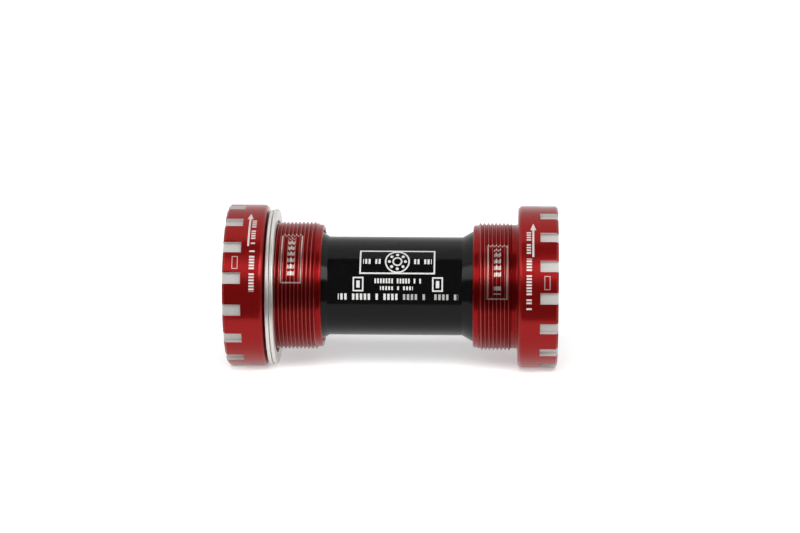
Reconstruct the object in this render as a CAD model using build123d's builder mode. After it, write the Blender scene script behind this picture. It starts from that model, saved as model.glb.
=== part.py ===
from build123d import *
from math import cos, radians, sin, tan
import os

# External-cup bottom bracket for a 68 mm English-threaded shell and a 24 mm spindle, in millimetres.
# The spindle axis is X. The drive side, with the left-hand thread, is at -X and the non-drive side at +X.
# The origin is on the axis, midway between the two cups.
# Profiles are drawn as (s, r): s is the distance from the mid-plane towards either end, r is the radius.

os.makedirs("parts", exist_ok=True)

# Cups. The shoulder is the flange face that seats against the frame's shell.
SHOULDER = 33.9
FLANGE_RADIUS = 22.0
FLANGE_WIDTH = 10.75
FACE = SHOULDER + FLANGE_WIDTH
SHOULDER_FILLET = 1.3
FACE_CHAMFER = 0.6
BARREL_LENGTH = {"drive_side": 15.1, "non_drive_side": 12.1}
LEAD_IN_LENGTH = 1.4
BARREL_BORE_RADIUS = 15.5
SEAT_START = 36.7
LEAD_IN_FILLET = 0.6
EDGE_CHAMFER = 0.3

# English bottom bracket thread, 1.37 in x 24 turns per inch
THREAD_PITCH = 25.4 / 24
CREST_RADIUS = 17.35
ROOT_RADIUS = 16.73
CREST_FLAT = 0.16
FLANK_ANGLE = 30.0
NECK_RADIUS = 16.8
NECK_LENGTH = 1.65
NECK_FILLET = 0.6
LEAD_IN_RADIUS = 16.65

# Spanner notches, milled into the flange from its outboard face
NOTCH_COUNT = 16
NOTCH_WIDTH = 3.0
NOTCH_LENGTH = 4.85
NOTCH_FLOOR_RADIUS = 20.9
NOTCH_PHASE = {"drive_side": 14.6, "non_drive_side": 1.7}

# Bearing, 25 x 37 x 7
BEARING_WIDTH = 7.0
BEARING_MIDDLE = SEAT_START + BEARING_WIDTH / 2
RACE_BORE_RADIUS = 12.5
RACE_OUTER_RADIUS = 18.5
PITCH_RADIUS = 15.5
BALL_RADIUS = 1.75
BALL_COUNT = 15
GROOVE_RADIUS = BALL_RADIUS + 0.05
INNER_LAND_RADIUS = 14.45
OUTER_LAND_RADIUS = 16.55
RACE_CHAMFER = 0.3
CAGE_WALL = 1.3
CAGE_WIDTH = 4.8
POCKET_RADIUS = BALL_RADIUS + 0.08
SEAL_OUTER_RADIUS = 17.4
SEAL_THICKNESS = 0.6
SEAL_RECESS = 0.12
SEAL_LIP_GAP = 0.05

# Top-hat bush between the spindle and the inner race
SPINDLE_BORE_RADIUS = 12.05
BUSH_FLANGE_RADIUS = 17.9
BUSH_FLANGE_THICKNESS = 0.85
BUSH_TAIL = 0.9
BUSH_CHAMFER = 0.15

# Centre sleeve: a thin tube with a collar at each end that plugs into the cups
SLEEVE_RADIUS = 13.4
SLEEVE_BORE_RADIUS = 12.5
FLARE_ANGLE = 30.0
FLARE_START = {"drive_side": 17.2, "non_drive_side": 18.9}
COLLAR_RADIUS = 15.3
COLLAR_BORE_RADIUS = 13.4
COLLAR_END = {"drive_side": 27.0, "non_drive_side": 30.6}
COLLAR_CHAMFER = 0.2
O_RING_SECTION = 1.0
O_RING_RADIUS = 14.95
O_RING_GROOVE_RADIUS = 14.4
O_RING_GROOVE_WIDTH = 1.2
O_RING_INSET = 1.6

# Loose spacer rings on the drive-side barrel. They hang on it, so they sit below the axis.
SPACER_OUTER_RADIUS = 21.15
SPACER_INNER_RADIUS = 18.0
SPACER_THICKNESS = 1.0
SPACER_EDGE = 0.25
SPACER_PLACES = {"outer_shell_spacer": (0.50, 0.60), "inner_shell_spacer": (1.60, 0.33)}

# How far a cut runs past the surface that it opens
OVERRUN = 1.0

SIDES = {"drive_side": -1, "non_drive_side": 1}


def write(part, name):
    """Label a finished piece and write its STEP file."""
    part.label = name
    export_step(part, f"parts/{name}.step")


def make_cup(side):
    """One threaded cup: flange, bearing seat and barrel, with its spanner notches."""
    sign = SIDES[side]
    barrel_end = SHOULDER - BARREL_LENGTH[side]
    thread_start = barrel_end + LEAD_IN_LENGTH
    thread_end = SHOULDER - NECK_LENGTH
    outline = [
        (barrel_end, BARREL_BORE_RADIUS),
        (barrel_end, LEAD_IN_RADIUS),
        (thread_start, LEAD_IN_RADIUS),
        (thread_start + flank_run(LEAD_IN_RADIUS), CREST_RADIUS),
        (thread_end - flank_run(NECK_RADIUS), CREST_RADIUS),
        (thread_end, NECK_RADIUS),
        (SHOULDER, NECK_RADIUS),
        (SHOULDER, FLANGE_RADIUS),
        (FACE, FLANGE_RADIUS),
        (FACE, RACE_OUTER_RADIUS),
        (SEAT_START, RACE_OUTER_RADIUS),
        (SEAT_START, BARREL_BORE_RADIUS),
    ]
    with BuildPart() as cup:
        with BuildSketch(Plane.XZ) as profile:
            with BuildLine():
                Polyline(*[(sign * s, r) for s, r in outline], close=True)
            make_face()
            fillet(corner(profile, sign * SHOULDER, FLANGE_RADIUS), SHOULDER_FILLET)
            fillet(corner(profile, sign * SHOULDER, NECK_RADIUS), NECK_FILLET)
            chamfer(corner(profile, sign * FACE, FLANGE_RADIUS), FACE_CHAMFER)
            chamfer(corner(profile, sign * FACE, RACE_OUTER_RADIUS), EDGE_CHAMFER)
            fillet(corner(profile, sign * barrel_end, LEAD_IN_RADIUS), LEAD_IN_FILLET)
            chamfer(corner(profile, sign * barrel_end, BARREL_BORE_RADIUS), EDGE_CHAMFER)
        revolve(axis=Axis.X)
        first_crest = thread_start + flank_run(LEAD_IN_RADIUS)
        last_crest = thread_end - flank_run(NECK_RADIUS)
        revolve(thread_grooves(sign, first_crest, last_crest), axis=Axis.X, mode=Mode.SUBTRACT)
        notch_depth = FLANGE_RADIUS - NOTCH_FLOOR_RADIUS
        extrude(notches(sign, NOTCH_PHASE[side]), amount=notch_depth + OVERRUN, mode=Mode.SUBTRACT)
    write(cup.part, f"{side}_cup")


def flank_run(radius):
    """Axial length of a thread flank from this radius up to the crest."""
    return (CREST_RADIUS - radius) * tan(radians(FLANK_ANGLE))


def corner(sketch, x, y):
    """The corner of a sketch at this place in the sketch's own X and Y."""
    return sketch.vertices().sort_by_distance((x, y, 0))[0]


def thread_grooves(sign, start, end):
    """The sections of the V grooves, one pitch apart, between the first crest and the last."""
    half_mouth = (THREAD_PITCH - CREST_FLAT) / 2
    half_root = half_mouth - flank_run(ROOT_RADIUS)
    depth = CREST_RADIUS - ROOT_RADIUS
    count = int((end - start - CREST_FLAT) / THREAD_PITCH)
    first = (start + end - (count - 1) * THREAD_PITCH) / 2
    with BuildSketch(Plane.XZ) as grooves:
        with Locations(*[(sign * (first + i * THREAD_PITCH), ROOT_RADIUS) for i in range(count)]):
            Polygon((-half_root, 0), (half_root, 0), (half_mouth, depth), (-half_mouth, depth))
    return grooves.sketch


def planes_around(sign, count, radius, phase=0.0):
    """Evenly spaced planes that face outward from the axis, with their X towards one end."""
    planes = []
    for i in range(count):
        angle = radians(phase + i * 360 / count)
        outward = Vector(0, -cos(angle), sin(angle))
        planes.append(Plane(origin=outward * radius, x_dir=(sign, 0, 0), z_dir=outward))
    return planes


def notches(sign, phase):
    """The floors of the evenly spaced notches, running out past the flange's outboard face."""
    with BuildSketch(*planes_around(sign, NOTCH_COUNT, NOTCH_FLOOR_RADIUS, phase)) as floors:
        with Locations((FACE - NOTCH_LENGTH, 0)):
            Rectangle(NOTCH_LENGTH + OVERRUN, NOTCH_WIDTH, align=(Align.MIN, Align.CENTER))
    return floors.sketch


def make_sleeve():
    """The centre sleeve, one revolved wall with a flare, a collar and an O-ring groove at each end."""
    with BuildPart() as sleeve:
        with BuildSketch(Plane.XZ):
            for side, sign in SIDES.items():
                with BuildLine():
                    Polyline(*[(sign * s, r) for s, r in half_sleeve_outline(side)], close=True)
                make_face()
        revolve(axis=Axis.X)
    write(sleeve.part, "centre_sleeve")


def half_sleeve_outline(side):
    """The sleeve's wall from the mid-plane to one end: out along the outside, back along the bore."""
    start = FLARE_START[side]
    end = COLLAR_END[side]
    slope = tan(radians(FLARE_ANGLE))
    collar = start + (COLLAR_RADIUS - SLEEVE_RADIUS) / slope
    collar_bore = start + (COLLAR_BORE_RADIUS - SLEEVE_BORE_RADIUS) / slope
    groove = end - O_RING_INSET
    half_groove = O_RING_GROOVE_WIDTH / 2
    return [
        (0, SLEEVE_RADIUS),
        (start, SLEEVE_RADIUS),
        (collar, COLLAR_RADIUS),
        (groove - half_groove, COLLAR_RADIUS),
        (groove - half_groove, O_RING_GROOVE_RADIUS),
        (groove + half_groove, O_RING_GROOVE_RADIUS),
        (groove + half_groove, COLLAR_RADIUS),
        (end - COLLAR_CHAMFER, COLLAR_RADIUS),
        (end, COLLAR_RADIUS - COLLAR_CHAMFER),
        (end, COLLAR_BORE_RADIUS),
        (collar_bore, COLLAR_BORE_RADIUS),
        (start, SLEEVE_BORE_RADIUS),
        (0, SLEEVE_BORE_RADIUS),
    ]


def make_o_ring(side):
    """The rubber ring in the sleeve's groove, round in section."""
    place = SIDES[side] * (COLLAR_END[side] - O_RING_INSET)
    with BuildPart() as o_ring:
        with BuildSketch(Plane.XZ):
            with Locations((place, O_RING_RADIUS)):
                Circle(O_RING_SECTION / 2)
        revolve(axis=Axis.X)
    write(o_ring.part, f"{side}_sleeve_o_ring")


def make_spacer(name):
    """One loose shell spacer, a flat ring with rounded edges."""
    gap, drop = SPACER_PLACES[name]
    middle = (SPACER_OUTER_RADIUS + SPACER_INNER_RADIUS) / 2
    wall = SPACER_OUTER_RADIUS - SPACER_INNER_RADIUS
    centre = -(SHOULDER - gap - SPACER_THICKNESS / 2)
    with BuildPart() as spacer:
        with BuildSketch(Plane.XZ):
            with Locations((centre, middle)):
                RectangleRounded(SPACER_THICKNESS, wall, SPACER_EDGE)
        revolve(axis=Axis.X)
    write(Pos(0, 0, -drop) * spacer.part, name)


def make_outer_race(side):
    """The bearing's outer race: ball groove inside, and a wider step at each end for the seals."""
    sign = SIDES[side]
    seal_seat = SEAL_RECESS + SEAL_THICKNESS
    with BuildPart() as race:
        with BuildSketch(Plane.XZ) as profile:
            with Locations((sign * BEARING_MIDDLE, 0)):
                ring_section(BEARING_WIDTH, OUTER_LAND_RADIUS, RACE_OUTER_RADIUS)
            for end in (-1, 1):
                x = sign * BEARING_MIDDLE + end * BEARING_WIDTH / 2
                chamfer(corner(profile, x, RACE_OUTER_RADIUS), RACE_CHAMFER)
                with Locations((x - end * seal_seat / 2, 0)):
                    ring_section(seal_seat, OUTER_LAND_RADIUS, SEAL_OUTER_RADIUS, mode=Mode.SUBTRACT)
            ball_groove(sign)
        revolve(axis=Axis.X)
    write(race.part, f"{side}_bearing_outer_race")


def make_inner_race(side):
    """The bearing's inner race, with its ball groove outside. It turns with the spindle."""
    sign = SIDES[side]
    with BuildPart() as race:
        with BuildSketch(Plane.XZ) as profile:
            with Locations((sign * BEARING_MIDDLE, 0)):
                ring_section(BEARING_WIDTH, RACE_BORE_RADIUS, INNER_LAND_RADIUS)
            for end in (-1, 1):
                x = sign * BEARING_MIDDLE + end * BEARING_WIDTH / 2
                chamfer(corner(profile, x, RACE_BORE_RADIUS), RACE_CHAMFER)
            ball_groove(sign)
        revolve(axis=Axis.X)
    write(race.part, f"{side}_bearing_inner_race")


def ring_section(width, inner, outer, mode=Mode.ADD):
    """A revolved ring's rectangular section, centred on the current place along X."""
    middle = (inner + outer) / 2
    with Locations((0, middle)):
        Rectangle(width, outer - inner, mode=mode)


def ball_groove(sign):
    """Cut the race's groove, a little larger in section than the balls."""
    with Locations((sign * BEARING_MIDDLE, PITCH_RADIUS)):
        Circle(GROOVE_RADIUS, mode=Mode.SUBTRACT)


def make_balls(side):
    """All the balls of one bearing, as separate solids in one node."""
    sign = SIDES[side]
    with BuildPart() as balls:
        with Locations(*planes_around(sign, BALL_COUNT, PITCH_RADIUS)):
            with Locations((BEARING_MIDDLE, 0)):
                Sphere(BALL_RADIUS)
    write(balls.part, f"{side}_bearing_balls")


def make_cage(side):
    """The nylon cage that keeps the balls apart, a ring drilled with a round pocket for each ball."""
    sign = SIDES[side]
    inner = PITCH_RADIUS - CAGE_WALL / 2
    with BuildPart() as cage:
        with BuildSketch(Plane.XZ):
            with Locations((sign * BEARING_MIDDLE, 0)):
                ring_section(CAGE_WIDTH, inner, inner + CAGE_WALL)
        revolve(axis=Axis.X)
        with BuildSketch(*planes_around(sign, BALL_COUNT, inner - OVERRUN)):
            with Locations((BEARING_MIDDLE, 0)):
                Circle(POCKET_RADIUS)
        extrude(amount=OVERRUN + CAGE_WALL + OVERRUN, mode=Mode.SUBTRACT)
    write(cage.part, f"{side}_bearing_cage")


def make_seal(side, face):
    """A rubber seal, held in the outer race, whose lip just clears the inner race."""
    outboard = 1 if face == "outboard" else -1
    edge = BEARING_MIDDLE + outboard * (BEARING_WIDTH / 2 - SEAL_RECESS)
    inner = INNER_LAND_RADIUS + SEAL_LIP_GAP
    step = outboard * SEAL_THICKNESS / 2
    outline = [
        (edge - 2 * step, SEAL_OUTER_RADIUS),
        (edge, SEAL_OUTER_RADIUS),
        (edge, SEAL_OUTER_RADIUS - SEAL_THICKNESS),
        (edge - step / 2, SEAL_OUTER_RADIUS - 2 * SEAL_THICKNESS),
        (edge - step / 2, inner + SEAL_THICKNESS),
        (edge, inner + SEAL_THICKNESS / 2),
        (edge - step, inner),
        (edge - 2 * step, inner + SEAL_THICKNESS / 2),
    ]
    with BuildPart() as seal:
        with BuildSketch(Plane.XZ):
            with BuildLine():
                Polyline(*[(SIDES[side] * s, r) for s, r in outline], close=True)
            make_face()
        revolve(axis=Axis.X)
    write(seal.part, f"{side}_bearing_{face}_seal")


def make_bush(side):
    """The top-hat bush: a thin tube inside the inner race and a flange that covers the bearing."""
    sign = SIDES[side]
    tail = SEAT_START - BUSH_TAIL
    under = FACE - BUSH_FLANGE_THICKNESS
    outline = [
        (tail, SPINDLE_BORE_RADIUS),
        (tail, RACE_BORE_RADIUS),
        (under, RACE_BORE_RADIUS),
        (under, BUSH_FLANGE_RADIUS),
        (FACE, BUSH_FLANGE_RADIUS),
        (FACE, SPINDLE_BORE_RADIUS),
    ]
    with BuildPart() as bush:
        with BuildSketch(Plane.XZ) as profile:
            with BuildLine():
                Polyline(*[(sign * s, r) for s, r in outline], close=True)
            make_face()
            chamfer(corner(profile, sign * tail, RACE_BORE_RADIUS), BUSH_CHAMFER)
            chamfer(corner(profile, sign * FACE, SPINDLE_BORE_RADIUS), EDGE_CHAMFER)
            fillet(corner(profile, sign * FACE, BUSH_FLANGE_RADIUS), EDGE_CHAMFER)
        revolve(axis=Axis.X)
    write(bush.part, f"{side}_spindle_bush")


for side in SIDES:
    make_cup(side)
    make_o_ring(side)
    make_outer_race(side)
    make_inner_race(side)
    make_balls(side)
    make_cage(side)
    make_seal(side, "outboard")
    make_seal(side, "inboard")
    make_bush(side)
make_sleeve()
for name in SPACER_PLACES:
    make_spacer(name)
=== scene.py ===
from math import asin, atan2, ceil, cos, hypot, pi, radians, sin, tan

import bmesh
import bpy
from mathutils import Matrix, Vector


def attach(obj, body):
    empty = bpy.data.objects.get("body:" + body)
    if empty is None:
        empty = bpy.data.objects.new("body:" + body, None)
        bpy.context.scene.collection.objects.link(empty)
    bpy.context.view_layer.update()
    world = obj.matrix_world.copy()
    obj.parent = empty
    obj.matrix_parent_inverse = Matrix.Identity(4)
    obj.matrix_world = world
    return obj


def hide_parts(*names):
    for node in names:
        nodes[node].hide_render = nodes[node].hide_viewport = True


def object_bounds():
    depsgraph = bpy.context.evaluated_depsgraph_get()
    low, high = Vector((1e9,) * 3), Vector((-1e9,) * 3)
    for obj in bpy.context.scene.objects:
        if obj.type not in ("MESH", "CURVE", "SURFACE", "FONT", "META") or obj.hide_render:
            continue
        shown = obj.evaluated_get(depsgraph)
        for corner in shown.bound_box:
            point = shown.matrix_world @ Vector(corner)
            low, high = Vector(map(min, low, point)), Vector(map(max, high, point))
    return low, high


# An external-cup bicycle bottom bracket. The spindle axis is X and the origin is midway between the cups.
# Sizes are in millimetres, as (s, r): s is the distance from the mid-plane towards either end, r the radius.
# Angles around the axis run from the front, -Y, up towards +Z.

MM = 0.001
SIDES = {"drive_side": -1, "non_drive_side": 1}

# Cups
SHOULDER = 33.9
FLANGE_RADIUS = 22.0
FACE = 44.65
BARREL_LENGTH = {"drive_side": 15.1, "non_drive_side": 12.1}
LEAD_IN_LENGTH = 1.4
BARREL_BORE_RADIUS = 15.5
SEAT_START = 36.7
SEAT_RADIUS = 18.5
SHOULDER_FILLET = 1.3
FACE_CHAMFER = 0.6
BORE_CHAMFER = 0.3
SMALL_EDGE = 0.12

# English thread, 24 turns per inch
THREAD_PITCH = 25.4 / 24
CREST_RADIUS = 17.35
ROOT_RADIUS = 16.73
CREST_WIDTH = 0.2
CREST_ROUNDING = 0.06
# How far below the crest the painted crest highlight reaches
CREST_HIGHLIGHT_DEPTH = 0.11
ROOT_ROUNDING = 0.02
FLANK_ANGLE = 30.0
NECK_RADIUS = 16.8
NECK_LENGTH = 1.65
NECK_FILLET = 0.6
LEAD_IN_RADIUS = 16.65
THREAD_PHASE = {"drive_side": -0.69, "non_drive_side": -0.23}

# Spanner notches
NOTCH_COUNT = 16
NOTCH_WIDTH = 3.0
NOTCH_LENGTH = 4.85
NOTCH_MARGIN = 0.15
NOTCH_FLOOR_RADIUS = 20.9
NOTCH_PHASE = {"drive_side": 14.6, "non_drive_side": 1.7}
NOTCH_COLUMNS = 6
LAND_COLUMNS = 10

# Centre sleeve
SLEEVE_RADIUS = 13.4
SLEEVE_BORE_RADIUS = 12.5
FLARE_START = {"drive_side": 17.2, "non_drive_side": 18.9}
FLARE_ANGLE = 30.0
COLLAR_RADIUS = 15.3
COLLAR_BORE_RADIUS = 13.4
COLLAR_END = {"drive_side": 27.0, "non_drive_side": 30.6}
O_RING_INSET = 1.6
O_RING_GROOVE_RADIUS = 14.4
O_RING_GROOVE_WIDTH = 1.2
SLEEVE_COLUMNS = 192

ARC_STEP = radians(14)
NOTCH_EDGE_WIDTH = 0.09

# Print, as (low, high) along the axis and around the surface from the front
PRINT_STRENGTH = 0.85
FAINT_SHARE = 0.6
STROKE_GAPS = 0.2
STROKE_SHARE = 0.6
STROKE_PITCH = 0.8
CUP_PRINT = {
    "drive_side": {
        "arrow": (14.6, 26.9),
        "words": (2.0, 13.7),
        "small_frame": (8.1, 11.6),
        "arrow_s": (37.65, 38.15),
        "words_s": (36.1, 37.5),
        "small_frame_s": (40.5, 42.1),
    },
    "non_drive_side": {
        "arrow": (11.9, 23.0),
        "words": (-4.4, 11.4),
        "small_frame": (3.0, 6.7),
        "arrow_s": (37.6, 38.1),
        "words_s": (36.1, 37.5),
        "small_frame_s": (40.8, 42.4),
    },
}
ARROW_HEAD_LENGTH = 2.6
ARROW_HEAD_SLOPE = 0.3
ETCHED_S = {"drive_side": (23.9, 29.6), "non_drive_side": (25.6, 31.2)}
ETCHED_AROUND = {"drive_side": (3.5, 18.9), "non_drive_side": (-0.6, 15.2)}
ETCHED_LINE = 0.38
ETCHED_MARGIN = 1.4
ETCHED_BLOCK_WIDTH = 1.9
SLEEVE_FRAME = (-8.6, 11.7, 5.5, 12.8)
PICTOGRAM_PLACE = (1.55, 9.15)
SMALL_FRAMES_MIDDLE = 1.75
# Rows of strokes on the sleeve, as (x, around, stroke pitch, seed)
SLEEVE_ROWS = (
    ((-5.4, 8.2), (3.0, 4.3), 0.75, 11.0),
    ((-3.0, 5.8), (1.2, 2.2), 0.8, 17.0),
    ((-14.3, 2.0), (-1.5, 0.2), 1.05, 23.0),
)
FAINT_SLEEVE_ROW = ((2.7, 17.9), (-1.45, 0.1), 1.05, 31.0)

# Studio, in metres and degrees
FLOOR_REACH = 6.0
CARD_CLEARANCE = 0.0002
DARK_HALF_WIDTH = 0.9
DARK_NEAR = -0.041
DARK_FAR = -0.5
DARK_TOP = 1.9
CEILING_HALF_WIDTH = 1.5
CEILING_NEAR = -0.25
CEILING_FAR = 0.8
CEILING_HEIGHT = 1.0
SOFTBOX_ELEVATION = 29
SOFTBOX_DISTANCE = 0.45
SOFTBOX_WIDTH = 0.40
SOFTBOX_HEIGHT = 0.18
SOFTBOXES = {"left_softbox": (-50, 2.9), "right_softbox": (50, 6.0)}  # azimuth and radiance
CAMERA_DISTANCE = 0.698
CAMERA_ELEVATION = 10
CAMERA_X = 0.029
CAMERA_TARGET = (0.0018, 0.0009, 0.0052)


# Outlines and meshes


def rounded(corners):
    """The points of a closed outline. Each corner is (s, r, fillet radius), and fillets become short arcs."""
    points = []
    count = len(corners)
    for i, (s, r, fillet) in enumerate(corners):
        here = Vector((s, r))
        if fillet == 0:
            points.append(here)
            continue
        back = (Vector(corners[i - 1][:2]) - here).normalized()
        ahead = (Vector(corners[(i + 1) % count][:2]) - here).normalized()
        half = back.angle(ahead) / 2
        centre = here + (back + ahead).normalized() * fillet / sin(half)
        start = here + back * fillet / tan(half) - centre
        turn = pi - 2 * half
        if start.cross(back) > 0:
            turn = -turn
        steps = max(2, ceil(abs(turn) / ARC_STEP))
        for k in range(steps + 1):
            angle = turn * k / steps
            points.append(centre + Matrix.Rotation(angle, 2) @ start)
    return points


def place(sign, s, r, angle):
    """A point in metres from its distance along the axis, its radius and its angle."""
    return Vector((sign * s, -r * cos(angle), r * sin(angle))) * MM


def add_face(mesh, corners, material=0):
    """Add a face, leaving out corners that fall together."""
    unique = [v for i, v in enumerate(corners) if v is not corners[i - 1]]
    if len(set(unique)) < 3 or len(set(unique)) < len(unique):
        return
    face = mesh.faces.new(unique)
    face.material_index = material
    face.smooth = True


def finish_mesh(mesh, name, materials, sharp_angle=32):
    """Turn the bmesh into an object with smooth shading that breaks at sharp edges."""
    bmesh.ops.recalc_face_normals(mesh, faces=mesh.faces)
    data = bpy.data.meshes.new(name)
    mesh.to_mesh(data)
    mesh.free()
    data.set_sharp_from_angle(angle=radians(sharp_angle))
    for material in materials:
        data.materials.append(material)
    obj = bpy.data.objects.new(name, data)
    bpy.context.scene.collection.objects.link(obj)
    return obj


def lathe(name, outline, columns, material):
    """A ring of revolution about the axis from a closed outline of (x, r)."""
    mesh = bmesh.new()
    rings = []
    for x, r in outline:
        rings.append([mesh.verts.new(place(1, x, r, 2 * pi * j / columns)) for j in range(columns)])
    for i, ring in enumerate(rings):
        before = rings[i - 1]
        for j in range(columns):
            add_face(mesh, [before[j - 1], ring[j - 1], ring[j], before[j]])
    return finish_mesh(mesh, name, [material])


# Cups


def cup_outline(side):
    """The cup's closed outline, and the indices of the rows where the thread and the notches start and end."""
    barrel_end = SHOULDER - BARREL_LENGTH[side]
    thread_start = barrel_end + LEAD_IN_LENGTH
    thread_end = SHOULDER - NECK_LENGTH
    notch_end = FACE - NOTCH_LENGTH
    floor_corner = hypot(NOTCH_FLOOR_RADIUS, NOTCH_WIDTH / 2)
    bore_edge = BARREL_BORE_RADIUS + BORE_CHAMFER
    seat_edge = SEAT_RADIUS + BORE_CHAMFER
    corners = [
        (barrel_end + BORE_CHAMFER, BARREL_BORE_RADIUS, 0.1),
        (barrel_end, bore_edge, 0.06),
        (barrel_end, LEAD_IN_RADIUS, 0.6),
        (thread_start, LEAD_IN_RADIUS, 0),
        (thread_end, NECK_RADIUS, 0),
        (SHOULDER, NECK_RADIUS, NECK_FILLET),
        (SHOULDER, FLANGE_RADIUS, SHOULDER_FILLET),
        (notch_end - NOTCH_MARGIN, FLANGE_RADIUS, 0),
        (notch_end, FLANGE_RADIUS, 0),
        (FACE - FACE_CHAMFER, FLANGE_RADIUS, SMALL_EDGE),
        (FACE, FLANGE_RADIUS - FACE_CHAMFER, SMALL_EDGE),
        (FACE, floor_corner, 0),
        (FACE, seat_edge, SMALL_EDGE),
        (FACE - BORE_CHAMFER, SEAT_RADIUS, SMALL_EDGE),
        (SEAT_START, SEAT_RADIUS, 0),
        (SEAT_START, BARREL_BORE_RADIUS, 0.1),
    ]
    outline = rounded(corners)
    marked = {}
    for name, s, r in (
        ("thread_start", thread_start, LEAD_IN_RADIUS),
        ("thread_end", thread_end, NECK_RADIUS),
        ("notch_end", notch_end, FLANGE_RADIUS),
        ("floor", FACE, floor_corner),
    ):
        marked[name] = min(range(len(outline)), key=lambda i: (outline[i] - Vector((s, r))).length)
    return outline, marked


def column_plan(side):
    """For each column of the cup's mesh: its notch's angle, and its offset across the notch or None on a land."""
    pitch = 2 * pi / NOTCH_COUNT
    half = asin(NOTCH_WIDTH / 2 / FLANGE_RADIUS)
    columns = []
    for k in range(NOTCH_COUNT):
        middle = radians(NOTCH_PHASE[side]) + k * pitch
        for i in range(NOTCH_COLUMNS + 1):
            columns.append((middle, NOTCH_WIDTH * (i / NOTCH_COLUMNS - 0.5)))
        for i in range(1, LAND_COLUMNS):
            land = half + (pitch - 2 * half) * i / LAND_COLUMNS
            columns.append((middle + land, None))
    return columns


def column_angle(column, radius):
    """The column's angle where it keeps its offset across the notch at this radius."""
    middle, across = column
    return middle if across is None else middle + asin(across / radius)


def root_half_width():
    """Half the width of the thread's root, from the pitch, the crest's width and the flanks' slope."""
    return (THREAD_PITCH - CREST_WIDTH) / 2 - (CREST_RADIUS - ROOT_RADIUS) * tan(radians(FLANK_ANGLE))


def thread_radius(turn):
    """The thread's radius at a place along its pitch, from 0 at one crest to 1 at the next."""
    from_crest = abs(turn - round(turn)) * THREAD_PITCH
    from_root = THREAD_PITCH / 2 - from_crest
    half_crest = CREST_WIDTH / 2
    half_root = root_half_width()
    if from_crest <= half_crest:
        return CREST_RADIUS - CREST_ROUNDING * (from_crest / half_crest) ** 2
    if from_root <= half_root:
        return ROOT_RADIUS + ROOT_ROUNDING * (from_root / half_root) ** 2
    down_flank = (from_crest - half_crest) / (THREAD_PITCH / 2 - half_crest - half_root)
    top = CREST_RADIUS - CREST_ROUNDING
    return top - down_flank * (top - ROOT_RADIUS - ROOT_ROUNDING)


def thread_turns():
    """The places along one pitch that get a row: across the crest, down the flank and at the root."""
    crest_edge = CREST_WIDTH / 2 / THREAD_PITCH
    root_edge = 0.5 - root_half_width() / THREAD_PITCH
    flank = [crest_edge + (root_edge - crest_edge) * k / 3 for k in range(4)]
    half = [0.0, crest_edge / 2] + flank + [0.5]
    return half + [1 - turn for turn in reversed(half[1:-1])]


def add_thread(mesh, side, start_ring, end_ring, columns):
    """The helical thread between two rings. It runs out where each ring's cone cuts through it."""
    sign = SIDES[side]
    start = SHOULDER - BARREL_LENGTH[side] + LEAD_IN_LENGTH
    end = SHOULDER - NECK_LENGTH
    slope = 1 / tan(radians(FLANK_ANGLE))
    phase = THREAD_PHASE[side]
    turns = thread_turns()
    angles = [column_angle(column, FLANGE_RADIUS) for column in columns]
    made = {}

    def vertex(row, j):
        if j == len(angles):
            return vertex(row - len(turns), 0)
        if (row, j) in made:
            return made[row, j]
        turn = row // len(turns) + turns[row % len(turns)]
        s = start + (turn + phase - (angles[j] - angles[0]) / (2 * pi)) * THREAD_PITCH
        if s <= start + 0.01:
            return start_ring[j]
        if s >= end - 0.01:
            return end_ring[j]
        cone = min(LEAD_IN_RADIUS + (s - start) * slope, NECK_RADIUS + (end - s) * slope)
        r = min(thread_radius(turn), cone)
        made[row, j] = mesh.verts.new(place(sign, s, r, angles[j]))
        return made[row, j]

    last_row = int(((end - start) / THREAD_PITCH + 2) * len(turns))
    for row in range(last_row):
        for j in range(len(angles)):
            add_face(mesh, [vertex(row, j), vertex(row + 1, j), vertex(row + 1, j + 1), vertex(row, j + 1)])


def add_notches(mesh, side, rings, marked, columns):
    """Floors, end walls and side walls of the milled notches. Returns their faces."""
    sign = SIDES[side]
    pitch_columns = NOTCH_COLUMNS + LAND_COLUMNS
    wall_rows = range(marked["notch_end"], marked["floor"] + 1)
    before = set(mesh.faces)
    for k in range(NOTCH_COUNT):
        across = range(k * pitch_columns, k * pitch_columns + NOTCH_COLUMNS + 1)
        foot = []
        for j in across:
            middle, offset = columns[j]
            angle = middle + atan2(offset, NOTCH_FLOOR_RADIUS)
            radius = hypot(offset, NOTCH_FLOOR_RADIUS)
            foot.append(mesh.verts.new(place(sign, FACE - NOTCH_LENGTH, radius, angle)))
        top = [rings[marked["notch_end"]][j] for j in across]
        lip = [rings[marked["floor"]][j] for j in across]
        for i in range(NOTCH_COLUMNS):
            add_face(mesh, [top[i], top[i + 1], foot[i + 1], foot[i]], 1)
            add_face(mesh, [foot[i], foot[i + 1], lip[i + 1], lip[i]], 1)
        for j, corner in ((across[0], foot[0]), (across[-1], foot[-1])):
            add_face(mesh, [rings[row][j] for row in wall_rows] + [corner], 1)
    return set(mesh.faces) - before


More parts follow.
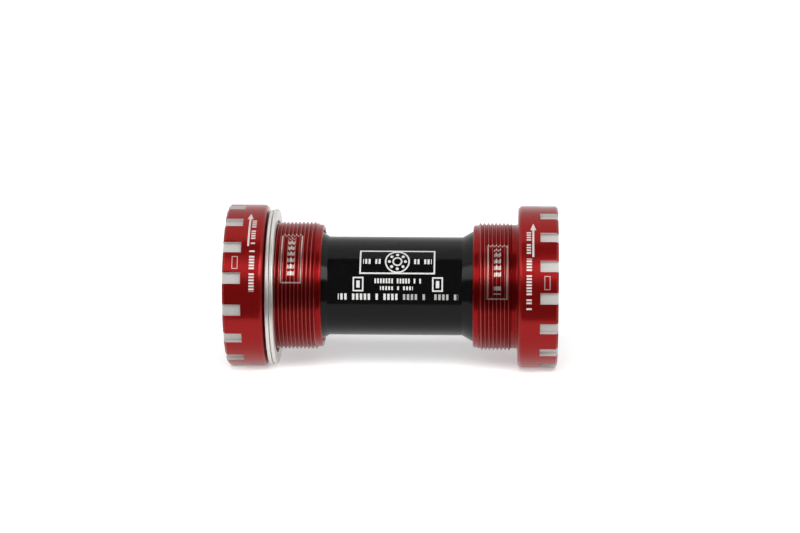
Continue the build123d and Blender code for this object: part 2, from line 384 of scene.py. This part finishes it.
def build_cup(side, materials):
    """One cup with its helical thread and its milled notches, in place of the plain CAD cup."""
    sign = SIDES[side]
    outline, marked = cup_outline(side)
    columns = column_plan(side)
    mesh = bmesh.new()
    rings = []
    for row, (s, r) in enumerate(outline):
        ring = []
        notched = marked["notch_end"] <= row <= marked["floor"]
        for column in columns:
            middle, across = column
            if across is not None and row == marked["floor"]:
                radius = hypot(across, NOTCH_FLOOR_RADIUS)
                ring.append(mesh.verts.new(place(sign, s, radius, column_angle(column, radius))))
            else:
                angle = column_angle(column, r if notched else FLANGE_RADIUS)
                ring.append(mesh.verts.new(place(sign, s, r, angle)))
        rings.append(ring)
    for row in range(len(rings)):
        upper = (row + 1) % len(rings)
        if row == marked["thread_start"]:
            continue
        open_rows = marked["notch_end"] <= row < marked["floor"]
        for j in range(len(columns)):
            after = (j + 1) % len(columns)
            in_notch = columns[j][1] is not None and columns[after][1] is not None
            if open_rows and in_notch:
                continue
            add_face(mesh, [rings[row][j], rings[row][after], rings[upper][after], rings[upper][j]])
    add_thread(mesh, side, rings[marked["thread_start"]], rings[marked["thread_end"]], columns)
    notch_faces = add_notches(mesh, side, rings, marked, columns)
    loose = [v for v in mesh.verts if not v.link_faces]
    bmesh.ops.delete(mesh, geom=loose, context="VERTS")
    rims = [e for e in mesh.edges if len({f in notch_faces for f in e.link_faces}) == 2]
    bmesh.ops.bevel(
        mesh,
        geom=rims,
        offset=NOTCH_EDGE_WIDTH * MM,
        segments=2,
        profile=0.5,
        affect="EDGES",
        material=1,
        clamp_overlap=True,
    )
    return finish_mesh(mesh, f"{side}_threaded_cup", materials)


# Centre sleeve


def sleeve_outline():
    """The sleeve's closed outline: along the outside from one end to the other, and back along the bore."""
    slope = tan(radians(FLARE_ANGLE))
    outside = []
    inside = []
    for side, sign in SIDES.items():
        start = FLARE_START[side]
        end = COLLAR_END[side]
        collar = start + (COLLAR_RADIUS - SLEEVE_RADIUS) / slope
        collar_bore = start + (COLLAR_BORE_RADIUS - SLEEVE_BORE_RADIUS) / slope
        groove = end - O_RING_INSET
        half = O_RING_GROOVE_WIDTH / 2
        outer_half = [
            (end, COLLAR_RADIUS, 0.2),
            (groove + half, COLLAR_RADIUS, 0.08),
            (groove + half, O_RING_GROOVE_RADIUS, 0),
            (groove - half, O_RING_GROOVE_RADIUS, 0),
            (groove - half, COLLAR_RADIUS, 0.08),
            (collar, COLLAR_RADIUS, 0.8),
            (start, SLEEVE_RADIUS, 0.5),
        ]
        inner_half = [
            (end, COLLAR_BORE_RADIUS, 0.1),
            (collar_bore, COLLAR_BORE_RADIUS, 0.5),
            (start, SLEEVE_BORE_RADIUS, 0.5),
        ]
        outside.append([(sign * s, r, fillet) for s, r, fillet in outer_half])
        inside.append([(sign * s, r, fillet) for s, r, fillet in inner_half])
    return rounded(outside[0] + outside[1][::-1] + inside[1] + inside[0][::-1])


# Shader nodes


def new_material(name):
    """A material with only its Principled shader and output."""
    material = bpy.data.materials.new(name)
    material.use_nodes = True
    return material, material.node_tree, material.node_tree.nodes["Principled BSDF"]


def feed(tree, socket, value):
    """Link an output to a socket, or set the socket's own value."""
    if isinstance(value, bpy.types.NodeSocket):
        tree.links.new(value, socket)
    else:
        socket.default_value = value


def calc(tree, operation, *values, clamp=False):
    """A Math node's result."""
    node = tree.nodes.new("ShaderNodeMath")
    node.operation = operation
    node.use_clamp = clamp
    for socket, value in zip(node.inputs, values):
        feed(tree, socket, value)
    return node.outputs[0]


def mix_colour(tree, factor, first, second):
    """A blend from the first colour to the second."""
    node = tree.nodes.new("ShaderNodeMix")
    node.data_type = "RGBA"
    feed(tree, node.inputs[0], factor)
    feed(tree, node.inputs[6], first)
    feed(tree, node.inputs[7], second)
    return node.outputs[2]


def mix_value(tree, factor, first, second):
    """A blend from the first number to the second."""
    node = tree.nodes.new("ShaderNodeMix")
    feed(tree, node.inputs[0], factor)
    feed(tree, node.inputs[2], first)
    feed(tree, node.inputs[3], second)
    return node.outputs[0]


def noise(tree, scale, vector=None, w=None, detail=2.0, roughness=0.5):
    """A noise value about 0.5, over space in metres or along one line."""
    node = tree.nodes.new("ShaderNodeTexNoise")
    if w is not None:
        node.noise_dimensions = "1D"
        feed(tree, node.inputs["W"], w)
    else:
        feed(tree, node.inputs["Vector"], vector)
    node.inputs["Scale"].default_value = scale
    node.inputs["Detail"].default_value = detail
    node.inputs["Roughness"].default_value = roughness
    return node.outputs[0]


def bump(tree, height, distance_mm, strength=1.0):
    """A normal from a height of 0 to 1 that stands for this many millimetres."""
    node = tree.nodes.new("ShaderNodeBump")
    node.inputs["Strength"].default_value = strength
    node.inputs["Distance"].default_value = distance_mm * MM
    feed(tree, node.inputs["Height"], height)
    return node.outputs[0]


def axis_places(tree):
    """The surface point, its X, its radius and its angle, with lengths in millimetres and the angle in radians."""
    point = tree.nodes.new("ShaderNodeTexCoord").outputs["Object"]
    split = tree.nodes.new("ShaderNodeSeparateXYZ")
    tree.links.new(point, split.inputs[0])
    x = calc(tree, "DIVIDE", split.outputs[0], MM)
    back = calc(tree, "DIVIDE", split.outputs[1], MM)
    up = calc(tree, "DIVIDE", split.outputs[2], MM)
    front = calc(tree, "MULTIPLY", back, -1.0)
    square = calc(tree, "ADD", calc(tree, "MULTIPLY", front, front), calc(tree, "MULTIPLY", up, up))
    radius = calc(tree, "SQRT", square)
    angle = calc(tree, "ARCTAN2", up, front)
    return point, x, radius, angle


def turning_lines(tree, x, radius, sign, scale):
    """Fine lathe lines: they vary along the axis on round walls and along the radius on faces."""
    along = calc(tree, "ADD", calc(tree, "MULTIPLY", x, float(sign)), radius)
    return noise(tree, scale, w=along, detail=4.0, roughness=0.7)


def lathe_tangent(tree, shader):
    """Turned grooves run around the X axis, so highlights spread across them, along the axis."""
    node = tree.nodes.new("ShaderNodeTangent")
    node.direction_type = "RADIAL"
    node.axis = "X"
    tree.links.new(node.outputs[0], shader.inputs["Tangent"])
    shader.inputs["Anisotropic Rotation"].default_value = 0.25


def inside(tree, value, low, high, soft=0.05):
    """1 where the value lies between low and high, with soft edges."""
    middle = (low + high) / 2
    distance = calc(tree, "ABSOLUTE", calc(tree, "SUBTRACT", value, middle))
    depth = calc(tree, "SUBTRACT", (high - low) / 2, distance)
    return calc(tree, "ADD", calc(tree, "DIVIDE", depth, soft), 0.5, clamp=True)


def patch(tree, u, v, left, right, bottom, top):
    """1 inside a rectangle on the surface."""
    return calc(tree, "MULTIPLY", inside(tree, u, left, right), inside(tree, v, bottom, top))


def frame_line(tree, u, v, left, right, bottom, top, width):
    """1 on the outline of a rectangle."""
    inner = patch(tree, u, v, left + width, right - width, bottom + width, top - width)
    return calc(tree, "SUBTRACT", patch(tree, u, v, left, right, bottom, top), inner, clamp=True)


def ring_line(tree, u, v, middle_u, middle_v, radius, width):
    """1 on a drawn circle."""
    across = calc(tree, "SUBTRACT", u, middle_u)
    up = calc(tree, "SUBTRACT", v, middle_v)
    square = calc(tree, "ADD", calc(tree, "MULTIPLY", across, across), calc(tree, "MULTIPLY", up, up))
    return inside(tree, calc(tree, "SQRT", square), radius - width / 2, radius + width / 2)


def dashes(tree, along, across, start, end, low, high, cell, seed):
    """A row of plain upright strokes with uneven gaps, in place of lettering."""
    cells = calc(tree, "DIVIDE", along, cell)
    pick = tree.nodes.new("ShaderNodeTexWhiteNoise")
    pick.noise_dimensions = "1D"
    feed(tree, pick.inputs["W"], calc(tree, "ADD", calc(tree, "FLOOR", cells), seed))
    filled = calc(tree, "GREATER_THAN", pick.outputs["Value"], STROKE_GAPS)
    stroke = calc(tree, "LESS_THAN", calc(tree, "FRACT", cells), STROKE_SHARE)
    row = calc(tree, "MULTIPLY", filled, stroke)
    return calc(tree, "MULTIPLY", row, patch(tree, along, across, start, end, low, high))


def repeat_around(tree, u, v, middle_u, middle_v, count):
    """Polar coordinates about a point, with the angle folded into equal parts: the distance out and across."""
    across = calc(tree, "SUBTRACT", u, middle_u)
    up = calc(tree, "SUBTRACT", v, middle_v)
    square = calc(tree, "ADD", calc(tree, "MULTIPLY", across, across), calc(tree, "MULTIPLY", up, up))
    distance = calc(tree, "SQRT", square)
    part = 2 * pi / count
    turn = calc(tree, "PINGPONG", calc(tree, "ARCTAN2", up, across), part / 2)
    out = calc(tree, "MULTIPLY", distance, calc(tree, "COSINE", turn))
    return out, calc(tree, "MULTIPLY", distance, calc(tree, "SINE", turn))


# Materials


def anodised_red(side):
    """Red anodised aluminium over turned grooves, with a painted highlight along the thread's crests, print and an
    etched mark.
    """
    sign = SIDES[side]
    material, tree, shader = new_material(f"anodised_red_{side}")
    point, x, radius, angle = axis_places(tree)
    s = calc(tree, "MULTIPLY", x, float(sign))
    lines = turning_lines(tree, x, radius, sign, 9.0)
    broad = noise(tree, 160.0, vector=point)
    dye = mix_colour(tree, lines, (0.185, 0.0033, 0.0040, 1), (0.27, 0.0060, 0.0060, 1))
    dye = mix_colour(tree, calc(tree, "MULTIPLY", broad, 0.25), dye, (0.295, 0.009, 0.008, 1))
    # Painted highlight: the thread's crests are painted a lighter pink all the way round.
    crest_highlight = inside(tree, radius, CREST_RADIUS - CREST_HIGHLIGHT_DEPTH, CREST_RADIUS + CREST_HIGHLIGHT_DEPTH)
    dye = mix_colour(tree, calc(tree, "MULTIPLY", crest_highlight, 0.4), dye, (0.50, 0.15, 0.14, 1))
    on_flange = calc(tree, "GREATER_THAN", radius, (CREST_RADIUS + FLANGE_RADIUS) / 2)
    outside_barrel = calc(tree, "GREATER_THAN", radius, (BARREL_BORE_RADIUS + ROOT_RADIUS) / 2)
    marks = calc(tree, "MULTIPLY", cup_print(tree, side, s, angle), on_flange)
    etched = calc(tree, "MULTIPLY", cup_etching(tree, side, s, angle), outside_barrel)
    colour = mix_colour(tree, marks, dye, (0.52, 0.51, 0.49, 1))
    colour = mix_colour(tree, etched, colour, (0.62, 0.58, 0.54, 1))
    feed(tree, shader.inputs["Base Color"], colour)
    metal = mix_value(tree, on_flange, 0.9, 0.68)
    feed(tree, shader.inputs["Metallic"], mix_value(tree, marks, metal, 0.15))
    smooth = mix_value(tree, on_flange, 0.32, 0.25)
    worn = calc(tree, "ADD", smooth, calc(tree, "MULTIPLY", lines, 0.11))
    feed(tree, shader.inputs["Roughness"], mix_value(tree, marks, worn, 0.5))
    shader.inputs["Anisotropic"].default_value = 0.9
    shader.inputs["Specular IOR Level"].default_value = 0.25
    shader.inputs["Coat Weight"].default_value = 0.08
    shader.inputs["Coat Roughness"].default_value = 0.16
    lathe_tangent(tree, shader)
    feed(tree, shader.inputs["Normal"], bump(tree, lines, 0.004, 0.5))
    return material


def cup_print(tree, side, s, angle):
    """The flange's generic marks: a tightening arrow beside a row of strokes, and a small frame between notches."""
    marks = CUP_PRINT[side]
    around = calc(tree, "MULTIPLY", angle, FLANGE_RADIUS)
    arrow_low, arrow_high = marks["arrow"]
    low_s, high_s = marks["words_s"]
    ink = patch(tree, s, around, *marks["arrow_s"], arrow_low, arrow_high - 1.5)
    ink = calc(tree, "MAXIMUM", ink, arrow_head(tree, s, around, marks["arrow_s"], arrow_high))
    words = dashes(tree, around, s, *marks["words"], low_s, high_s, STROKE_PITCH, 3.0)
    ink = calc(tree, "MAXIMUM", ink, words)
    word = dashes(tree, around, s, arrow_low + 0.6, arrow_high - 3.2, low_s, high_s - 0.25, STROKE_PITCH, 8.0)
    ink = calc(tree, "MAXIMUM", ink, word)
    small = frame_line(tree, s, around, *marks["small_frame_s"], *marks["small_frame"], 0.2)
    ink = calc(tree, "MAXIMUM", ink, calc(tree, "MULTIPLY", small, FAINT_SHARE))
    return calc(tree, "MULTIPLY", ink, PRINT_STRENGTH)


def arrow_head(tree, s, around, bar_s, tip):
    """A triangle at the end of the arrow's bar, pointing up around the flange."""
    middle = (bar_s[0] + bar_s[1]) / 2
    half_width = calc(tree, "MULTIPLY", calc(tree, "SUBTRACT", tip, around), ARROW_HEAD_SLOPE)
    distance = calc(tree, "ABSOLUTE", calc(tree, "SUBTRACT", s, middle))
    depth = calc(tree, "SUBTRACT", half_width, distance)
    wedge = calc(tree, "ADD", calc(tree, "DIVIDE", depth, 0.05), 0.5, clamp=True)
    return calc(tree, "MULTIPLY", wedge, inside(tree, around, tip - ARROW_HEAD_LENGTH, tip))


def cup_etching(tree, side, s, angle):
    """A plain mark etched across the thread: a rectangle with a row of blocks in it."""
    around = calc(tree, "MULTIPLY", angle, CREST_RADIUS)
    left, right = ETCHED_S[side]
    bottom, top = ETCHED_AROUND[side]
    etched = frame_line(tree, s, around, left, right, bottom, top, ETCHED_LINE)
    row = (bottom + ETCHED_MARGIN, top - ETCHED_MARGIN)
    middle = (left + right) / 2
    block = (middle - ETCHED_BLOCK_WIDTH / 2, middle + ETCHED_BLOCK_WIDTH / 2)
    return calc(tree, "MAXIMUM", etched, dashes(tree, around, s, *row, *block, ETCHED_BLOCK_WIDTH, 2.0))


def bare_aluminium():
    """The milled floors and walls of the notches, cut through the anodising."""
    material, tree, shader = new_material("bare_aluminium")
    point, x, _, angle = axis_places(tree)
    lines = noise(tree, 14.0, w=calc(tree, "ADD", x, calc(tree, "MULTIPLY", angle, 6.0)), detail=3.0)
    cloud = noise(tree, 900.0, vector=point)
    colour = mix_colour(tree, lines, (0.445, 0.43, 0.42, 1), (0.555, 0.535, 0.52, 1))
    feed(tree, shader.inputs["Base Color"], colour)
    shader.inputs["Metallic"].default_value = 0.6
    feed(tree, shader.inputs["Roughness"], calc(tree, "ADD", 0.6, calc(tree, "MULTIPLY", cloud, 0.2)))
    feed(tree, shader.inputs["Normal"], bump(tree, lines, 0.006, 0.5))
    return material


def sleeve_black():
    """Glossy black plastic with generic white print on the outside."""
    material, tree, shader = new_material("sleeve_black")
    point, x, radius, angle = axis_places(tree)
    outside = calc(tree, "GREATER_THAN", radius, (SLEEVE_RADIUS + SLEEVE_BORE_RADIUS) / 2)
    ink = calc(tree, "MULTIPLY", sleeve_print(tree, x, angle), outside)
    cloud = noise(tree, 700.0, vector=point, detail=4.0)
    black = mix_colour(tree, cloud, (0.0018, 0.0018, 0.0020, 1), (0.0036, 0.0036, 0.0040, 1))
    feed(tree, shader.inputs["Base Color"], mix_colour(tree, ink, black, (0.46, 0.46, 0.45, 1)))
    shader.inputs["Specular IOR Level"].default_value = 0.14
    smooth = calc(tree, "ADD", 0.08, calc(tree, "MULTIPLY", cloud, 0.10))
    feed(tree, shader.inputs["Roughness"], mix_value(tree, ink, smooth, 0.42))
    feed(tree, shader.inputs["Normal"], bump(tree, cloud, 0.004, 0.25))
    return material


def sleeve_print(tree, x, angle):
    """The sleeve's generic marks: a frame with a bearing pictogram, two small frames and rows of strokes."""
    around = calc(tree, "MULTIPLY", angle, SLEEVE_RADIUS)
    ink = frame_line(tree, x, around, *SLEEVE_FRAME, 0.42)
    ink = calc(tree, "MAXIMUM", ink, bearing_pictogram(tree, x, around, *PICTOGRAM_PLACE))
    beside = calc(tree, "ABSOLUTE", calc(tree, "SUBTRACT", x, PICTOGRAM_PLACE[0]))
    ink = calc(tree, "MAXIMUM", ink, dashes(tree, beside, around, 4.3, 9.2, 8.4, 9.9, 0.9, 5.0))
    beside = calc(tree, "ABSOLUTE", calc(tree, "SUBTRACT", x, SMALL_FRAMES_MIDDLE))
    ink = calc(tree, "MAXIMUM", ink, frame_line(tree, beside, around, 9.2, 12.1, 0.8, 4.7, 0.38))
    ink = calc(tree, "MAXIMUM", ink, patch(tree, beside, around, 10.2, 11.1, 1.8, 3.7))
    for ends, edges, pitch, seed in SLEEVE_ROWS:
        ink = calc(tree, "MAXIMUM", ink, dashes(tree, x, around, *ends, *edges, pitch, seed))
    ends, edges, pitch, seed = FAINT_SLEEVE_ROW
    faint = calc(tree, "MULTIPLY", dashes(tree, x, around, *ends, *edges, pitch, seed), FAINT_SHARE)
    return calc(tree, "MAXIMUM", ink, faint)


def bearing_pictogram(tree, x, around, middle_x, middle_around):
    """A ball bearing seen from its end: two circles with balls between them."""
    rings = ring_line(tree, x, around, middle_x, middle_around, 3.15, 0.4)
    rings = calc(tree, "MAXIMUM", rings, ring_line(tree, x, around, middle_x, middle_around, 1.15, 0.4))
    out, across = repeat_around(tree, x, around, middle_x, middle_around, 8)
    balls = ring_line(tree, out, across, 2.15, 0.0, 0.2, 0.42)
    return calc(tree, "MAXIMUM", rings, balls)


def turned_alloy(name):
    """Clear anodised aluminium with turned faces, for the spacer rings."""
    material, tree, shader = new_material(name)
    point, x, radius, _ = axis_places(tree)
    lines = turning_lines(tree, x, radius, 1, 11.0)
    cloud = noise(tree, 500.0, vector=point, detail=3.0)
    colour = mix_colour(tree, lines, (0.56, 0.55, 0.525, 1), (0.75, 0.74, 0.71, 1))
    colour = mix_colour(tree, calc(tree, "MULTIPLY", cloud, 0.35), colour, (0.51, 0.49, 0.465, 1))
    feed(tree, shader.inputs["Base Color"], colour)
    shader.inputs["Metallic"].default_value = 0.85
    feed(tree, shader.inputs["Roughness"], calc(tree, "ADD", 0.34, calc(tree, "MULTIPLY", cloud, 0.2)))
    shader.inputs["Anisotropic"].default_value = 0.6
    lathe_tangent(tree, shader)
    feed(tree, shader.inputs["Normal"], bump(tree, lines, 0.004, 0.6))
    return material


def ground_steel():
    """Bearing races, ground around the axis."""
    material, tree, shader = new_material("bearing_steel")
    _, x, radius, _ = axis_places(tree)
    lines = turning_lines(tree, x, radius, 1, 24.0)
    colour = mix_colour(tree, lines, (0.42, 0.42, 0.43, 1), (0.62, 0.62, 0.64, 1))
    feed(tree, shader.inputs["Base Color"], colour)
    shader.inputs["Metallic"].default_value = 1.0
    feed(tree, shader.inputs["Roughness"], calc(tree, "ADD", 0.18, calc(tree, "MULTIPLY", lines, 0.12)))
    shader.inputs["Anisotropic"].default_value = 0.5
    lathe_tangent(tree, shader)
    feed(tree, shader.inputs["Normal"], bump(tree, lines, 0.002, 0.5))
    return material


def polished_balls():
    """Polished steel with a trace of grease."""
    material, tree, shader = new_material("ball_steel")
    point = axis_places(tree)[0]
    film = noise(tree, 1400.0, vector=point, detail=3.0)
    colour = mix_colour(tree, film, (0.52, 0.51, 0.48, 1), (0.72, 0.72, 0.74, 1))
    feed(tree, shader.inputs["Base Color"], colour)
    shader.inputs["Metallic"].default_value = 1.0
    feed(tree, shader.inputs["Roughness"], calc(tree, "ADD", 0.05, calc(tree, "MULTIPLY", film, 0.12)))
    return material


def moulded(name, dark, light, grain, low_roughness, high_roughness, height):
    """A moulded plastic or rubber with a fine grain and slight clouding."""
    material, tree, shader = new_material(name)
    point = axis_places(tree)[0]
    fine = noise(tree, grain, vector=point, detail=5.0, roughness=0.6)
    cloud = noise(tree, grain / 12, vector=point)
    feed(tree, shader.inputs["Base Color"], mix_colour(tree, cloud, (*dark, 1), (*light, 1)))
    spread = high_roughness - low_roughness
    rough = calc(tree, "ADD", low_roughness, calc(tree, "MULTIPLY", fine, spread))
    feed(tree, shader.inputs["Roughness"], rough)
    feed(tree, shader.inputs["Normal"], bump(tree, fine, height, 0.5))
    return material


# Studio


def plain(name, colour, strength=0.0):
    """A plain stage material, lit or glowing."""
    material, tree, shader = new_material(name)
    shader.inputs["Base Color"].default_value = (*colour, 1)
    shader.inputs["Roughness"].default_value = 1.0
    shader.inputs["Specular IOR Level"].default_value = 0.0
    shader.inputs["Emission Color"].default_value = (*colour, 1)
    shader.inputs["Emission Strength"].default_value = strength
    return material


def stage_sheet(name, corners, material):
    """A flat stage sheet from its four corners."""
    data = bpy.data.meshes.new(name)
    data.from_pydata(corners, [], [(0, 1, 2, 3)])
    data.materials.append(material)
    sheet = bpy.data.objects.new(name, data)
    bpy.context.scene.collection.objects.link(sheet)
    return sheet


def only_in_reflections(sheet):
    """A card that only glossy surfaces see."""
    sheet.visible_camera = False
    sheet.visible_diffuse = False
    sheet.visible_shadow = False
    sheet.visible_transmission = False
    sheet.visible_volume_scatter = False


def area_light(name, azimuth, elevation, distance, width, height, radiance):
    """A rectangular light that faces the object. Azimuth 0 is the front, positive towards +X."""
    light = bpy.data.lights.new(name, "AREA")
    light.shape = "RECTANGLE"
    light.size = width
    light.size_y = height
    light.energy = radiance * pi * width * height
    lamp = bpy.data.objects.new(name, light)
    bpy.context.scene.collection.objects.link(lamp)
    flat = distance * cos(radians(elevation))
    lamp.location = (
        flat * sin(radians(azimuth)),
        -flat * cos(radians(azimuth)),
        distance * sin(radians(elevation)),
    )
    lamp.rotation_euler = (-lamp.location).to_track_quat("-Z", "Y").to_euler()
    lamp.visible_camera = False
    return lamp


def distant_light(name, elevation, spread, irradiance):
    """A broad even light from the front that only lights matt surfaces, so it makes no highlight."""
    light = bpy.data.lights.new(name, "SUN")
    light.angle = radians(spread)
    light.energy = irradiance
    lamp = bpy.data.objects.new(name, light)
    bpy.context.scene.collection.objects.link(lamp)
    lamp.rotation_euler = (radians(90 - elevation), 0, 0)
    lamp.visible_glossy = False


def level_rectangle(left, right, front, back, height):
    """The corners of a level rectangle."""
    return [(left, front, height), (right, front, height), (right, back, height), (left, back, height)]


def build_stage(floor_height):
    """The floor, the lights, and the cards and white surround that reflections see; the black cards paint shade
    into the reflections.
    """
    world = bpy.data.worlds.new("studio")
    world.use_nodes = True
    background = world.node_tree.nodes["Background"]
    background.inputs["Color"].default_value = (1, 1, 1, 1)
    background.inputs["Strength"].default_value = 1.0
    bpy.context.scene.world = world
    world.cycles_visibility.diffuse = False

    floor = level_rectangle(-FLOOR_REACH, FLOOR_REACH, -FLOOR_REACH, FLOOR_REACH, floor_height)
    stage_sheet("floor", floor, plain("studio_floor", (0.86, 0.86, 0.86), 0.45))

    # Black sheets that only reflections see, one standing in front and one lying on the lit floor in front: painted
    # shade in what glossy surfaces reflect.
    black = plain("reflection_shade_card", (0.02, 0.02, 0.02))
    low = floor_height + CARD_CLEARANCE
    wide = DARK_HALF_WIDTH
    front = [(-wide, DARK_FAR, low), (wide, DARK_FAR, low), (wide, DARK_FAR, DARK_TOP), (-wide, DARK_FAR, DARK_TOP)]
    ground = level_rectangle(-wide, wide, DARK_FAR, DARK_NEAR, low)
    ceiling = level_rectangle(-CEILING_HALF_WIDTH, CEILING_HALF_WIDTH, CEILING_NEAR, CEILING_FAR, CEILING_HEIGHT)
    only_in_reflections(stage_sheet("dark_front", front, black))
    only_in_reflections(stage_sheet("dark_ground", ground, black))
    only_in_reflections(stage_sheet("grey_ceiling", ceiling, plain("grey_card", (0.5, 0.5, 0.5), 1.1)))

    for name, (azimuth, radiance) in SOFTBOXES.items():
        spot = (azimuth, SOFTBOX_ELEVATION, SOFTBOX_DISTANCE)
        box = area_light(name, *spot, SOFTBOX_WIDTH, SOFTBOX_HEIGHT, radiance)
        box.visible_diffuse = False
    distant_light("key", elevation=34, spread=48, irradiance=4.2)
    distant_light("fill", elevation=90, spread=140, irradiance=0.8)


def build_camera():
    """The camera: a little right of the middle, slightly above, with a long lens."""
    camera = bpy.data.cameras.new("camera")
    camera.lens = 115.2
    camera.sensor_width = 36.0
    camera.clip_start = 0.01
    viewer = bpy.data.objects.new("camera", camera)
    bpy.context.scene.collection.objects.link(viewer)
    elevation = radians(CAMERA_ELEVATION)
    viewer.location = (CAMERA_X, -CAMERA_DISTANCE * cos(elevation), CAMERA_DISTANCE * sin(elevation))
    viewer.rotation_euler = (Vector(CAMERA_TARGET) - viewer.location).to_track_quat("-Z", "Y").to_euler()
    bpy.context.scene.camera = viewer


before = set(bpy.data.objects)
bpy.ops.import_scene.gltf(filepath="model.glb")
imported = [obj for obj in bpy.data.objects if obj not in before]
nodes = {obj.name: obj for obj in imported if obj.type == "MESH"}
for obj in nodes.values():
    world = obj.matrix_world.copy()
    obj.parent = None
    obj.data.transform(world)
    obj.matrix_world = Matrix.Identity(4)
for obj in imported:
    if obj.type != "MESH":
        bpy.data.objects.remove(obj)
cad_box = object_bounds()

build_camera()
build_stage(cad_box[0][2])

notch_metal = bare_aluminium()
for side in SIDES:
    cup = build_cup(side, [anodised_red(side), notch_metal])
    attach(cup, "drive_cup" if side == "drive_side" else "non_drive_cup")
    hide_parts(f"{side}_cup")

sleeve = lathe("centre_sleeve_tube", sleeve_outline(), SLEEVE_COLUMNS, sleeve_black())
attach(sleeve, "sleeve_with_o_rings")
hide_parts("centre_sleeve")

rubber = moulded("seal_rubber", (0.010, 0.010, 0.010), (0.020, 0.020, 0.020), 9000.0, 0.42, 0.62, 0.006)
steel = ground_steel()
finishes = {
    "sleeve_o_ring": rubber,
    "bearing_outer_race": steel,
    "bearing_inner_race": steel,
    "bearing_balls": polished_balls(),
    "bearing_cage": moulded("cage_nylon", (0.50, 0.43, 0.28), (0.62, 0.55, 0.40), 7000.0, 0.4, 0.6, 0.008),
    "bearing_outboard_seal": rubber,
    "bearing_inboard_seal": rubber,
    "spindle_bush": moulded("bush_nylon", (0.012, 0.012, 0.013), (0.022, 0.022, 0.024), 9000.0, 0.38, 0.58, 0.01),
}
for side in SIDES:
    for piece, finish in finishes.items():
        nodes[f"{side}_{piece}"].material_slots[0].material = finish
spacer_finish = turned_alloy("spacer_alloy")
for name in ("outer_shell_spacer", "inner_shell_spacer"):
    nodes[name].material_slots[0].material = spacer_finish

bpy.context.scene.view_settings.view_transform = "Standard"
